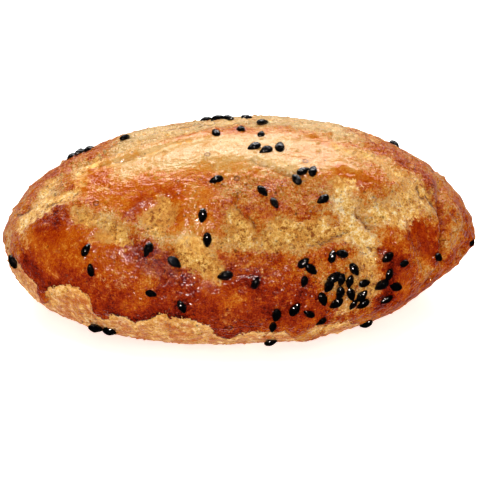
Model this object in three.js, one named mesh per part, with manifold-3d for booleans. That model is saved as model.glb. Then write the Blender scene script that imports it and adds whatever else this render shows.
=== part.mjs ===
// An oval, hand-shaped bread roll with an egg wash crust and black seeds, lying on its flat underside.
//
// Millimetres, +Z up. The origin is on the table under the middle of the roll. The roll runs along X, from
// its broad end at -X to its pinched tip at +X, and its front faces -Y.
//
// A place on the crust is [x, around]: x in mm along the roll, and around in degrees about its length, from
// 0 at the front, level with the belly, over 90 at the crown, to 180 at the back.

import * as THREE from 'three';
import { mergeVertices } from 'three/addons/utils/BufferGeometryUtils.js';
import Module from 'manifold-3d';

const wasm = await Module();
wasm.setup();

// Driving dimensions of the loaf.
const LENGTH = 106;
const WIDTH = 59;
const HEIGHT = 40;
const BELLY_HEIGHT = 13.5; // of the widest outline above the table
const BELOW_BELLY = 18; // how far the underside would hang if the table didn't flatten it
const TIP_LIFT = 1.5; // the pinched tip stands this much higher than the belly
const TIP_LIFT_POWER = 4; // so that only the last quarter of the length rises
const SQUARENESS = 2.2; // of a cross-section, where 2 is an ellipse

// How each end narrows, seen from above and seen from the side. A high fullness keeps the loaf wide for
// longer, and a low bluntness draws its end out to a point.
const BROAD_END = { plan: { fullness: 2.75, bluntness: 1.8 }, crown: { fullness: 1.68, bluntness: 2 } };
const PINCHED_END = { plan: { fullness: 2.25, bluntness: 1.23 }, crown: { fullness: 3, bluntness: 1.5 } };

// The mesh of the crust.
const CRUST_DETAIL = 17; // each side of the first icosahedron is cut into this many and one more
const MIDDLE_CROWDING = 0.28; // moves vertices towards the middle, where the loaf is long and even
const STROKE_STEPS = 8; // straight pieces that follow a stroke over the crust
const SMALLEST = 1e-6; // stands in for a side or a height of nothing at the two ends
const MERGE_WITHIN = 1e-4; // vertices closer than this are one

// Soft unevenness of proved dough: waves that cross at all angles, the longest the highest.
const WAVES = { count: 9, longest: 34, shortest: 11, steepness: 0.0035 };
const GOLDEN_TURN = Math.PI * (3 - Math.sqrt(5));

// Relief of the crust. A stroke runs over the crust from one place to another, fades out over its width in
// mm on either side, and stands proud by its height in mm, or sinks where that is below zero.
const STROKES = {
  middleTear: { from: [-3, 36], to: [21, 36], width: 3.6, height: -0.7 },
  rightTear: { from: [24, 50], to: [28, 30], width: 4.6, height: -0.9 },
  upperRightTear: { from: [31, 53], to: [40, 59], width: 3.4, height: -0.7 },
  roundDent: { from: [-17, 44], to: [-15, 43], width: 4, height: -1.2 },
  leftTear: { from: [-34, 40], to: [-23, 34], width: 2.4, height: -0.5 },
  notchTear: { from: [-7, 32], to: [-5, 21], width: 2.8, height: -0.5 },
  shoulderTear: { from: [-46, 74], to: [-38, 70], width: 3, height: -0.6 },
  deepDimple: { from: [27, 48], to: [28.5, 43], width: 1.5, height: -1.6 },
  upperStretchMark: { from: [-37, 96], to: [-9, 104], width: 1.4, height: -0.8 },
  lowerStretchMark: { from: [-35, 82], to: [-8, 92], width: 1.3, height: -0.6 },
  backStretchMark: { from: [-22, 113], to: [-2, 108], width: 1.3, height: -0.5 },
  crownFold: { from: [-6, 76], to: [20, 66], width: 3.4, height: 0.7 },
  rightFold: { from: [22, 71], to: [33, 60], width: 2.2, height: 0.6 },
  middleLedge: { from: [4, 26], to: [23, 31], width: 1.8, height: 0.6 },
  leftLedge: { from: [-45, 62], to: [-33, 54], width: 1.8, height: 0.6 },
  dentRim: { from: [-11.5, 49], to: [-11.5, 37], width: 1.8, height: 0.6 },
  leftPillow: { from: [-38, 26], to: [-22, 16], width: 9, height: 0.9 },
  rightPillow: { from: [16, 8], to: [33, 10], width: 8, height: 0.8 },
  tipCrease: { from: [44, 84], to: [45, 8], width: 1.3, height: -1.1 },
  tipLip: { from: [42, 78], to: [43, 12], width: 1.8, height: 0.5 },
  tipKnuckle: { from: [47.5, 70], to: [49, 45], width: 1.8, height: 0.6 },
  tipPleat: { from: [47, 30], to: [50, -5], width: 1.2, height: -0.6 },
  backTear: { from: [-18, 142], to: [16, 138], width: 3.4, height: -0.7 },
  backPillow: { from: [18, 160], to: [30, 158], width: 8, height: 0.8 },
};

// Egg wash ran down the side and set in drips, each from a place on the wash's edge to its own foot.
const DRIPS = { width: 1.9, height: 0.45 };
const DRIP_RUNS = [
  [[-42.5, 0], [-42.5, -20]],
  [[-23, 2], [-23, -5]],
  [[-3, -2], [-1.5, -14]],
  [[13, -6], [13.5, -22]],
  [[-30, 178], [-31, 196]],
  [[8, 182], [7, 200]],
];

// Black seeds are squat drops with blunt ridges. They lie on the crust, sunk a little in it, tipped and rolled as
// they fell. The outline is half of a seed that is 1 long and 1 wide, from its blunt end to its point.
const SEED = { length: 3.2, width: 2, thickness: 1.6, sides: 5, sunk: 0.25, mostTip: 0.25, mostRoll: 0.4 };
const SEED_OUTLINE = [[0, -0.5], [0.38, -0.32], [0.5, 0.02], [0.27, 0.36], [0, 0.5]];
const SEED_SIZES = { smallest: 0.86, largest: 1.12 };

// Where the seeds fell: each row scatters its count of seeds evenly between two. The third number is the way that
// a seed points as the eye sees it from the front, in degrees, from 0 to the right over 90 up.
const SEED_ROWS = {
  crownBehind: { from: [-7.3, 122, 10], to: [-2.3, 116, -20], count: 3 },
  crownTop: { from: [-4.7, 94, 130], to: [0.6, 97.5, 140], count: 2 },
  crownFront: { from: [3.4, 80.5, 205], to: [5.6, 77, 205], count: 2 },
  upperRight: { from: [13.6, 64, 30], to: [15.9, 64.5, 75], count: 2 },
  upperPair: { from: [5.1, 53.5, -45], to: [7.5, 48, -60], count: 2 },
  besideTear: { from: [-7.7, 43, -100], to: [-6.7, 32.5, -92], count: 2 },
  leftShoulder: { from: [-37.4, 124, 30], to: [-33.4, 118.5, 25], count: 3 },
  leftPillow: { from: [-31.6, 28, 50], to: [-30.7, 19, 85], count: 2 },
  leftFoot: { from: [-30.7, -15.5, -40], to: [-27.9, -16.5, -10], count: 2 },
  wetPatch: { from: [-18.9, 28, -120], to: [-13.3, 23.5, -40], count: 2 },
  lowerLeft: { from: [-18.4, 10, -15], to: [-11.8, 5, -70], count: 2 },
  middlePair: { from: [-2.9, 18, 190], to: [3.6, 15, 70], count: 2 },
  middleFoot: { from: [7.7, 1, -95], to: [7.3, -5, -95], count: 2 },
  lowerRow: { from: [11.8, 2.7, 60], to: [14.7, 0, 160], count: 2 },
  innerPair: { from: [13.6, 23, 45], to: [15.1, 20, -35], count: 2 },
  thicketTop: { from: [19.3, 25.5, 85], to: [21.7, 26.5, 175], count: 2 },
  thicketRight: { from: [24, 19, -45], to: [26.3, 12, 20], count: 2 },
  thicketLeft: { from: [18.6, 12.5, -105], to: [20, 16, 40], count: 2 },
  thicketUpper: { from: [21.3, 14.5, -90], to: [23.3, 14, -95], count: 2 },
  thicketMiddle: { from: [21, 9, -90], to: [20.5, 3.5, -140], count: 2 },
  thicketInner: { from: [23.5, 7.5, -60], to: [24.3, 1.5, -110], count: 2 },
  thicketLower: { from: [26.1, 5.5, 60], to: [26.1, -0.5, -130], count: 2 },
  rightUpper: { from: [31.4, 23, -135], to: [34.7, 19, -155], count: 2 },
  rightColumn: { from: [31.7, 13.5, -95], to: [30.2, 8.5, -135], count: 2 },
  rightLow: { from: [33.3, 5, 180], to: [31.4, -1.5, 215], count: 2 },
  backLeft: { from: [-24, 150, 20], to: [-8, 172, 250], count: 4 },
  backMiddle: { from: [2, 156, 80], to: [14, 178, 300], count: 4 },
  backRight: { from: [24, 140, 200], to: [36, 160, 340], count: 4 },
};
const LONE_SEEDS = {
  crownBack: [1.9, 114.5, 0],
  crownRight: [5.3, 105, 20],
  crownMiddle: [4.9, 92, 70],
  crownFrontRight: [8.9, 80.5, 85],
  leftCrown: [-25.2, 112, 35],
  farRight: [34.7, 113, -30],
  upperMiddle: [-4.7, 60.5, 195],
  upperLeft: [12.2, 60, 130],
  aboveTear: [17.7, 51, 215],
  innerLow: [13.6, 15.5, -95],
  thicketEdge: [17.5, 7, -60],
  middleRim: [6.9, -18.5, 0],
  lowerRight: [17.4, -5, -140],
  broadEnd: [-49.3, 10, 80],
  rightFoot: [27.6, -19.5, -120],
  tipFold: [43.2, 15, 0],
  tipEnd: [51.5, 10, 60],
};
const ROW_WANDER = { along: 0.2, around: 0.6 }; // mm and degrees off the row's line
const EYE_HEIGHT = 32; // degrees from which the eye looks down at the front
const LEAST_FACING = 0.4; // of a place that the eye hardly sees

const CRUST = { color: 0xb9692a, roughness: 0.5, metalness: 0 };

const UP = new THREE.Vector3(0, 0, 1);
const SIDEWAYS = new THREE.Vector3(0, 1, 0);
const LENGTHWAYS = new THREE.Vector3(1, 0, 0);
const radians = THREE.MathUtils.degToRad;
const TO_EYE = new THREE.Vector3(0, -Math.cos(radians(EYE_HEIGHT)), Math.sin(radians(EYE_HEIGHT)));

// A number from 0 to 1 that looks random and is the same in every run.
function chance(index, salt) {
  const wave = Math.sin(index * 12.9898 + salt * 78.233) * 43758.5453;
  return wave - Math.floor(wave);
}

const between = (low, high, share) => low + (high - low) * share;

const narrowed = (share, { fullness, bluntness }) => (1 - Math.abs(share) ** fullness) ** (1 / bluntness);

// The smooth form, at a share of the half length from -1 to 1 and an angle around in radians.
function doughPoint(share, around) {
  const end = share < 0 ? BROAD_END : PINCHED_END;
  const side = (WIDTH / 2) * narrowed(share, end.plan);
  const above = (HEIGHT - BELLY_HEIGHT) * narrowed(share, end.crown);
  const below = BELOW_BELLY * narrowed(share, end.plan);
  const across = Math.cos(around);
  const up = Math.sin(around);
  const tall = Math.max(up > 0 ? above : below, SMALLEST);
  const wide = Math.max(side, SMALLEST);
  const reach = Math.abs(across / wide) ** SQUARENESS + Math.abs(up / tall) ** SQUARENESS;
  const radius = reach ** (-1 / SQUARENESS);
  const axisHeight = BELLY_HEIGHT + TIP_LIFT * Math.max(share, 0) ** TIP_LIFT_POWER;
  return new THREE.Vector3((LENGTH / 2) * share, -radius * across, axisHeight + radius * up);
}

const doughPlace = ([x, around]) => doughPoint(x / (LENGTH / 2), radians(around));

// Outwards from the loaf, near enough square to its crust everywhere.
function outwards(point) {
  const tall = point.z > BELLY_HEIGHT ? HEIGHT - BELLY_HEIGHT : BELOW_BELLY;
  return new THREE.Vector3(
    point.x / (LENGTH / 2) ** 2,
    point.y / (WIDTH / 2) ** 2,
    (point.z - BELLY_HEIGHT) / tall ** 2,
  ).normalize();
}

function placeBetween([x, around], [toX, toAround], share) {
  return [between(x, toX, share), between(around, toAround, share)];
}

// The straight pieces of a stroke, each from one point of the crust to the next.
function followedPieces(from, to) {
  const points = Array.from({ length: STROKE_STEPS + 1 }, (_, step) =>
    doughPlace(placeBetween(from, to, step / STROKE_STEPS)),
  );
  return points.slice(1).map((point, i) => new THREE.Line3(points[i], point));
}

function strokeRelief({ from, to, width, height }) {
  const pieces = followedPieces(from, to);
  const nearest = new THREE.Vector3();
  return (point) => {
    const away = pieces.map((piece) => piece.closestPointToPoint(point, true, nearest).distanceTo(point));
    return height * Math.exp(-((Math.min(...away) / width) ** 2));
  };
}

// One wave of the unevenness. The directions are spread over the sphere by the golden turn.
function waveRelief(index) {
  const share = (index + 0.5) / WAVES.count;
  const length = between(WAVES.longest, WAVES.shortest, share);
  const rise = 1 - 2 * share;
  const flat = Math.sqrt(1 - rise * rise);
  const turn = index * GOLDEN_TURN;
  const direction = new THREE.Vector3(flat * Math.cos(turn), flat * Math.sin(turn), rise);
  return (point) => WAVES.steepness * length * Math.sin((2 * Math.PI * direction.dot(point)) / length + turn);
}

const drips = DRIP_RUNS.map(([from, to]) => ({ from, to, ...DRIPS }));
const reliefs = [
  ...Object.values(STROKES).map(strokeRelief),
  ...drips.map(strokeRelief),
  ...Array.from({ length: WAVES.count }, (_, index) => waveRelief(index)),
];

function crustPoint(share, around) {
  const point = doughPoint(share, around);
  const height = reliefs.reduce((sum, relief) => sum + relief(point), 0);
  return point.addScaledVector(outwards(point), height);
}

const crustPlace = ([x, around]) => crustPoint(x / (LENGTH / 2), radians(around));

function solidOf(geometry) {
  const bare = geometry.clone();
  bare.deleteAttribute('normal');
  bare.deleteAttribute('uv');
  const merged = mergeVertices(bare, MERGE_WITHIN);
  return new wasm.Manifold(
    new wasm.Mesh({
      numProp: 3,
      vertProperties: merged.attributes.position.array,
      triVerts: new Uint32Array(merged.index.array),
    }),
  );
}

function geometryOf(solid) {
  const { vertProperties, triVerts } = solid.getMesh();
  const geometry = new THREE.BufferGeometry();
  geometry.setAttribute('position', new THREE.BufferAttribute(vertProperties, 3));
  geometry.setIndex(new THREE.BufferAttribute(triVerts, 1));
  geometry.computeVertexNormals();
  return geometry;
}

// The loaf, still round below the table.
function loaf() {
  const geometry = new THREE.IcosahedronGeometry(1, CRUST_DETAIL);
  const corners = geometry.attributes.position;
  for (let i = 0; i < corners.count; i++) {
    const x = corners.getX(i);
    const share = THREE.MathUtils.clamp((1 - MIDDLE_CROWDING) * x + MIDDLE_CROWDING * x ** 3, -1, 1);
    const around = Math.atan2(corners.getZ(i), -corners.getY(i));
    corners.setXYZ(i, ...crustPoint(share, around).toArray());
  }
  return solidOf(geometry);
}

// Everything under the table, which flattens what rests on it.
function underTable() {
  const depth = 2 * BELOW_BELLY;
  const block = new THREE.BoxGeometry(2 * LENGTH, 2 * WIDTH, depth);
  return solidOf(block.translate(0, 0, -depth / 2));
}

// A seed along X, its blunt end at -X, with its flat sides up and down.
function seedGeometry() {
  const outline = SEED_OUTLINE.map(([radius, along]) => new THREE.Vector2(radius, along));
  const geometry = new THREE.LatheGeometry(outline, SEED.sides);
  geometry.rotateZ(-Math.PI / 2);
  return geometry.scale(SEED.length, SEED.width, SEED.thickness);
}

// The turn on the crust that looks like the one that the eye sees, where the crust leans away from it.
function turnOnCrust(points, out) {
  const facing = Math.max(out.dot(TO_EYE), LEAST_FACING);
  return Math.atan2(Math.sin(radians(points)) / facing, Math.cos(radians(points)));
}

const wander = (index, salt) => 2 * chance(index, salt) - 1;

// Where a seed lies: square to the crust, turned the way it points, and tipped and rolled as it happened to fall.
function seedMatrix(place, index) {
  const out = outwards(doughPlace(place));
  const size = between(SEED_SIZES.smallest, SEED_SIZES.largest, chance(index, 1));
  const lift = (0.5 - SEED.sunk) * SEED.thickness * size;
  const position = crustPlace(place).addScaledVector(out, lift);
  const lying = new THREE.Quaternion().setFromUnitVectors(UP, out);
  const turned = new THREE.Quaternion().setFromAxisAngle(UP, turnOnCrust(place[2], out));
  const tipped = new THREE.Quaternion().setFromAxisAngle(SIDEWAYS, SEED.mostTip * wander(index, 2));
  const rolled = new THREE.Quaternion().setFromAxisAngle(LENGTHWAYS, SEED.mostRoll * wander(index, 3));
  const rotation = lying.multiply(turned).multiply(tipped).multiply(rolled);
  return new THREE.Matrix4().compose(position, rotation, new THREE.Vector3(size, size, size));
}

function seedPlaces() {
  const places = [];
  for (const { from, to, count } of Object.values(SEED_ROWS)) {
    for (let n = 0; n < count; n++) {
      const [x, around, points] = from.map((start, i) => between(start, to[i], n / (count - 1)));
      const index = places.length;
      places.push([x + ROW_WANDER.along * wander(index, 4), around + ROW_WANDER.around * wander(index, 5), points]);
    }
  }
  return [...places, ...Object.values(LONE_SEEDS)];
}

function seeds() {
  const seed = seedGeometry();
  return seedPlaces().map((place, index) => solidOf(seed.clone().applyMatrix4(seedMatrix(place, index))));
}

const seeded = seeds().reduce((solid, seed) => solid.add(seed), loaf());
const baked = seeded.subtract(underTable());

const breadRoll = new THREE.Mesh(geometryOf(baked), new THREE.MeshStandardMaterial(CRUST));
breadRoll.name = 'bread_roll';

const group = new THREE.Group();
group.add(breadRoll);

export default group;
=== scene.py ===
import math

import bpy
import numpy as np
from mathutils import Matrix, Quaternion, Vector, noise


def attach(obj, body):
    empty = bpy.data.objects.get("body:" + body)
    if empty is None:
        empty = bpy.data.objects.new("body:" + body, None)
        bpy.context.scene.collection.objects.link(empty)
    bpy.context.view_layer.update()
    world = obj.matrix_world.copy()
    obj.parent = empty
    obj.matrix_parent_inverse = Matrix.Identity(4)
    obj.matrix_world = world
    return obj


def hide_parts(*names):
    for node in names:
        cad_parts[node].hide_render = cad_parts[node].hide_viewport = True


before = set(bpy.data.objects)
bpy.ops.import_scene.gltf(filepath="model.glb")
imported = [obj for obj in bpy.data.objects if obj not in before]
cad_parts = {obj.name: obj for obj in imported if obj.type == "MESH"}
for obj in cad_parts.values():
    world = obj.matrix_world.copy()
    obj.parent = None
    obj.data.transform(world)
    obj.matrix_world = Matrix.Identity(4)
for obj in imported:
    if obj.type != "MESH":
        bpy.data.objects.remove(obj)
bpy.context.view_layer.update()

# The looks of an egg-washed bread roll with black seeds: its crust, its seeds, a plain floor and soft light.
# A place on the crust is (x, around): mm along the roll, and degrees about its length, from 0 at the front,
# level with the belly, over 90 at the crown, to 180 at the back.

mm = 0.001
goldenTurn = math.pi * (3 - math.sqrt(5))


# what every part of the script uses

def linearColour(hexText):
    channels = [int(hexText[i:i + 2], 16) / 255 for i in (0, 2, 4)]
    return [c / 12.92 if c <= 0.04045 else ((c + 0.055) / 1.055) ** 2.4 for c in channels] + [1]


def addNode(tree, kind, links=(), **settings):  # a link is a number, a socket, or a node for its first output
    node = tree.nodes.new(kind)
    for name, value in settings.items():
        setattr(node, name, value)
    for key, value in links.items() if isinstance(links, dict) else enumerate(links):
        value = value.outputs[0] if isinstance(value, bpy.types.Node) else value
        if isinstance(value, bpy.types.NodeSocket):
            tree.links.new(value, node.inputs[key])
        else:
            node.inputs[key].default_value = value
    return node


def eased(share):
    share = np.clip(share, 0, 1)
    return share * share * (3 - 2 * share)


def chance(index, salt):  # a number from 0 to 1 that looks random and is the same in every run
    wave = math.sin(index * 12.9898 + salt * 78.233) * 43758.5453
    return wave - math.floor(wave)


def wander(index, salt):
    return 2 * chance(index, salt) - 1


# where the camera stands

view = {
    "elevation": 32, "distance": 0.4, "focus": (0.000315, 0, 0.014),
    "pixelsPerMm": 4.44, "imageWidth": 480, "sensor": 36,  # the sensor in mm
}


# the loaf: mm, as in the model's own source

loaf = {
    "length": 106, "width": 59, "height": 40,
    "bellyHeight": 13.5,  # of the widest outline
    "belowBelly": 18,  # how far the underside would hang without the table
    "tipLift": 1.5, "tipLiftPower": 4,
    "squareness": 2.2,  # of a cross-section, where 2 is an ellipse
    "broadPlan": (2.75, 1.8), "broadCrown": (1.68, 2),  # fullness and bluntness of each end
    "pinchedPlan": (2.25, 1.23), "pinchedCrown": (3, 1.5),
    "rimRound": 0.9,  # of the edge round the flat underside
}


def narrowed(share, fullness, bluntness):
    return (1 - np.abs(share) ** fullness) ** (1 / bluntness)


def doughPoint(share, around):
    broad = share < 0
    plan = np.where(broad, narrowed(share, *loaf["broadPlan"]), narrowed(share, *loaf["pinchedPlan"]))
    crown = np.where(broad, narrowed(share, *loaf["broadCrown"]), narrowed(share, *loaf["pinchedCrown"]))
    across, up = np.cos(around), np.sin(around)
    above = (loaf["height"] - loaf["bellyHeight"]) * crown
    tall = np.maximum(np.where(up > 0, above, loaf["belowBelly"] * plan), 1e-6)
    wide = np.maximum(loaf["width"] / 2 * plan, 1e-6)
    power = loaf["squareness"]
    radius = (np.abs(across / wide) ** power + np.abs(up / tall) ** power) ** (-1 / power)
    axisHeight = loaf["bellyHeight"] + loaf["tipLift"] * np.maximum(share, 0) ** loaf["tipLiftPower"]
    return np.stack([loaf["length"] / 2 * share, -radius * across, axisHeight + radius * up], axis=-1)


def doughPlace(x, around):
    return doughPoint(np.asarray(x, float) / (loaf["length"] / 2), np.radians(around))


def outwards(points):  # near enough square to the crust everywhere
    above = points[..., 2] > loaf["bellyHeight"]
    tall = np.where(above, loaf["height"] - loaf["bellyHeight"], loaf["belowBelly"])
    lean = np.stack([
        points[..., 0] / (loaf["length"] / 2) ** 2,
        points[..., 1] / (loaf["width"] / 2) ** 2,
        (points[..., 2] - loaf["bellyHeight"]) / tall ** 2,
    ], axis=-1)
    return lean / np.linalg.norm(lean, axis=-1, keepdims=True)


def lineOver(route, steps=6):  # a route of straight legs over the crust, as points of a line
    spots = [np.array(route[0], float)]
    for start, end in zip(route[:-1], route[1:]):
        start, end = np.array(start, float), np.array(end, float)
        spots += [start + (end - start) * n / steps for n in range(1, steps + 1)]
    return doughPlace(*np.array(spots).T)


def awayFrom(points, line):
    nearest = np.full(len(points), np.inf)
    for start, end in zip(line[:-1], line[1:]):
        piece = end - start
        share = np.clip((points - start) @ piece / (piece @ piece), 0, 1)
        nearest = np.minimum(nearest, np.linalg.norm(points - start - share[:, None] * piece, axis=-1))
    return nearest


def nearTo(points, line, reach):  # the numbers of the points that may be that near
    low, high = line.min(axis=0) - reach, line.max(axis=0) + reach
    return np.flatnonzero(((points > low) & (points < high)).all(axis=1))


# relief that the model's solid has too: from, to, width and height in mm

strokes = {
    "middleTear": ((-3, 36), (21, 36), 3.6, -0.7),
    "rightTear": ((24, 50), (28, 30), 4.6, -0.9),
    "upperRightTear": ((31, 53), (40, 59), 3.4, -0.7),
    "roundDent": ((-17, 44), (-15, 43), 4, -1.2),
    "leftTear": ((-34, 40), (-23, 34), 2.4, -0.5),
    "notchTear": ((-7, 32), (-5, 21), 2.8, -0.5),
    "shoulderTear": ((-46, 74), (-38, 70), 3, -0.6),
    "deepDimple": ((27, 48), (28.5, 43), 1.5, -1.6),
    "upperStretchMark": ((-37, 96), (-9, 104), 1.4, -0.8),
    "lowerStretchMark": ((-35, 82), (-8, 92), 1.3, -0.6),
    "backStretchMark": ((-22, 113), (-2, 108), 1.3, -0.5),
    "crownFold": ((-6, 76), (20, 66), 3.4, 0.7),
    "rightFold": ((22, 71), (33, 60), 2.2, 0.6),
    "middleLedge": ((4, 26), (23, 31), 1.8, 0.6),
    "leftLedge": ((-45, 62), (-33, 54), 1.8, 0.6),
    "dentRim": ((-11.5, 49), (-11.5, 37), 1.8, 0.6),
    "leftPillow": ((-38, 26), (-22, 16), 9, 0.9),
    "rightPillow": ((16, 8), (33, 10), 8, 0.8),
    "tipCrease": ((44, 84), (45, 8), 1.3, -1.1),
    "tipLip": ((42, 78), (43, 12), 1.8, 0.5),
    "tipKnuckle": ((47.5, 70), (49, 45), 1.8, 0.6),
    "tipPleat": ((47, 30), (50, -5), 1.2, -0.6),
    "backTear": ((-18, 142), (16, 138), 3.4, -0.7),
    "backPillow": ((18, 160), (30, 158), 8, 0.8),
}
drips = {
    "width": 1.9, "height": 0.45,
    "runs": [
        ((-42.5, 0), (-42.5, -20)), ((-23, 2), (-23, -5)), ((-3, -2), (-1.5, -14)),
        ((13, -6), (13.5, -22)), ((-30, 178), (-31, 196)), ((8, 182), (7, 200)),
    ],
}
waves = {"count": 9, "longest": 34, "shortest": 11, "steepness": 0.0035}


def modelledRelief(points):
    height = np.zeros(len(points))
    runs = [(start, end, drips["width"], drips["height"]) for start, end in drips["runs"]]
    for start, end, width, tall in [*strokes.values(), *runs]:
        line = lineOver([start, end], 8)
        near = nearTo(points, line, 3 * width)
        height[near] += tall * np.exp(-((awayFrom(points[near], line) / width) ** 2))
    for index in range(waves["count"]):
        share = (index + 0.5) / waves["count"]
        length = waves["longest"] + (waves["shortest"] - waves["longest"]) * share
        rise = 1 - 2 * share
        flat = math.sqrt(1 - rise * rise)
        turn = index * goldenTurn
        along = points @ np.array([flat * math.cos(turn), flat * math.sin(turn), rise])
        height += waves["steepness"] * length * np.sin(2 * math.pi * along / length + turn)
    return height


def crustPlace(x, around):
    point = doughPlace(x, around)[None]
    return (point + outwards(point) * modelledRelief(point)[:, None])[0]


# where the seeds lie: from, to and count of each row, and the lone ones. The third number is the way that
# a seed points as the camera sees it, in degrees, from 0 to the right over 90 up.

seedRows = {
    "crownBehind": ((-7.3, 122, 10), (-2.3, 116, -20), 3),
    "crownTop": ((-4.7, 94, 130), (0.6, 97.5, 140), 2),
    "crownFront": ((3.4, 80.5, 205), (5.6, 77, 205), 2),
    "upperRight": ((13.6, 64, 30), (15.9, 64.5, 75), 2),
    "upperPair": ((5.1, 53.5, -45), (7.5, 48, -60), 2),
    "besideTear": ((-7.7, 43, -100), (-6.7, 32.5, -92), 2),
    "leftShoulder": ((-37.4, 124, 30), (-33.4, 118.5, 25), 3),
    "leftPillow": ((-31.6, 28, 50), (-30.7, 19, 85), 2),
    "leftFoot": ((-30.7, -15.5, -40), (-27.9, -16.5, -10), 2),
    "wetPatch": ((-18.9, 28, -120), (-13.3, 23.5, -40), 2),
    "lowerLeft": ((-18.4, 10, -15), (-11.8, 5, -70), 2),
    "middlePair": ((-2.9, 18, 190), (3.6, 15, 70), 2),
    "middleFoot": ((7.7, 1, -95), (7.3, -5, -95), 2),
    "lowerRow": ((11.8, 2.7, 60), (14.7, 0, 160), 2),
    "innerPair": ((13.6, 23, 45), (15.1, 20, -35), 2),
    "thicketTop": ((19.3, 25.5, 85), (21.7, 26.5, 175), 2),
    "thicketRight": ((24, 19, -45), (26.3, 12, 20), 2),
    "thicketLeft": ((18.6, 12.5, -105), (20, 16, 40), 2),
    "thicketUpper": ((21.3, 14.5, -90), (23.3, 14, -95), 2),
    "thicketMiddle": ((21, 9, -90), (20.5, 3.5, -140), 2),
    "thicketInner": ((23.5, 7.5, -60), (24.3, 1.5, -110), 2),
    "thicketLower": ((26.1, 5.5, 60), (26.1, -0.5, -130), 2),
    "rightUpper": ((31.4, 23, -135), (34.7, 19, -155), 2),
    "rightColumn": ((31.7, 13.5, -95), (30.2, 8.5, -135), 2),
    "rightLow": ((33.3, 5, 180), (31.4, -1.5, 215), 2),
    "backLeft": ((-24, 150, 20), (-8, 172, 250), 4),
    "backMiddle": ((2, 156, 80), (14, 178, 300), 4),
    "backRight": ((24, 140, 200), (36, 160, 340), 4),
}
loneSeeds = {
    "crownBack": (1.9, 114.5, 0), "crownRight": (5.3, 105, 20), "crownMiddle": (4.9, 92, 70),
    "crownFrontRight": (8.9, 80.5, 85), "leftCrown": (-25.2, 112, 35), "farRight": (34.7, 113, -30),
    "upperMiddle": (-4.7, 60.5, 195), "upperLeft": (12.2, 60, 130), "aboveTear": (17.7, 51, 215),
    "innerLow": (13.6, 15.5, -95), "thicketEdge": (17.5, 7, -60), "middleRim": (6.9, -18.5, 0),
    "lowerRight": (17.4, -5, -140), "broadEnd": (-49.3, 10, 80), "rightFoot": (27.6, -19.5, -120),
    "tipFold": (43.2, 15, 0), "tipEnd": (51.5, 10, 60),
}
rowWander = {"along": 0.2, "around": 0.6}  # mm and degrees off the row's line


def seedPlaces():
    places = []
    for start, end, count in seedRows.values():
        for n in range(count):
            x, around, points = [a + (b - a) * n / (count - 1) for a, b in zip(start, end)]
            index = len(places)
            x += rowWander["along"] * wander(index, 4)
            around += rowWander["around"] * wander(index, 5)
            places.append((x, around, points))
    return places + list(loneSeeds.values())


# the egg wash: where it covers the crust, and how deeply it baked

# The wash ends in a ragged hem above the bare foot. These places follow it along the front.
washHem = [
    (-53, 30), (-50, 17), (-47.5, 9), (-45, 4), (-43.6, 1), (-43.2, -9), (-42.4, -13), (-41.4, -9),
    (-40.6, 3), (-38, 8), (-34, 9), (-31.5, 5), (-30.6, -6), (-28.5, -8), (-27, -3), (-25, -3), (-22, -5),
    (-19, -4), (-16.5, 0), (-13, -1), (-9, -2), (-6.5, -6), (-4.5, -12), (-2, -13), (0.5, -10), (3.5, -8),
    (6, -10), (9, -9), (11, -14), (14.5, -26), (17.5, -24), (19.5, -15), (24, -13), (25.5, -18), (29, -26),
    (53, -40),
]
backHemShift = 9  # the hem on the back is the front's, this many mm further along

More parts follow.
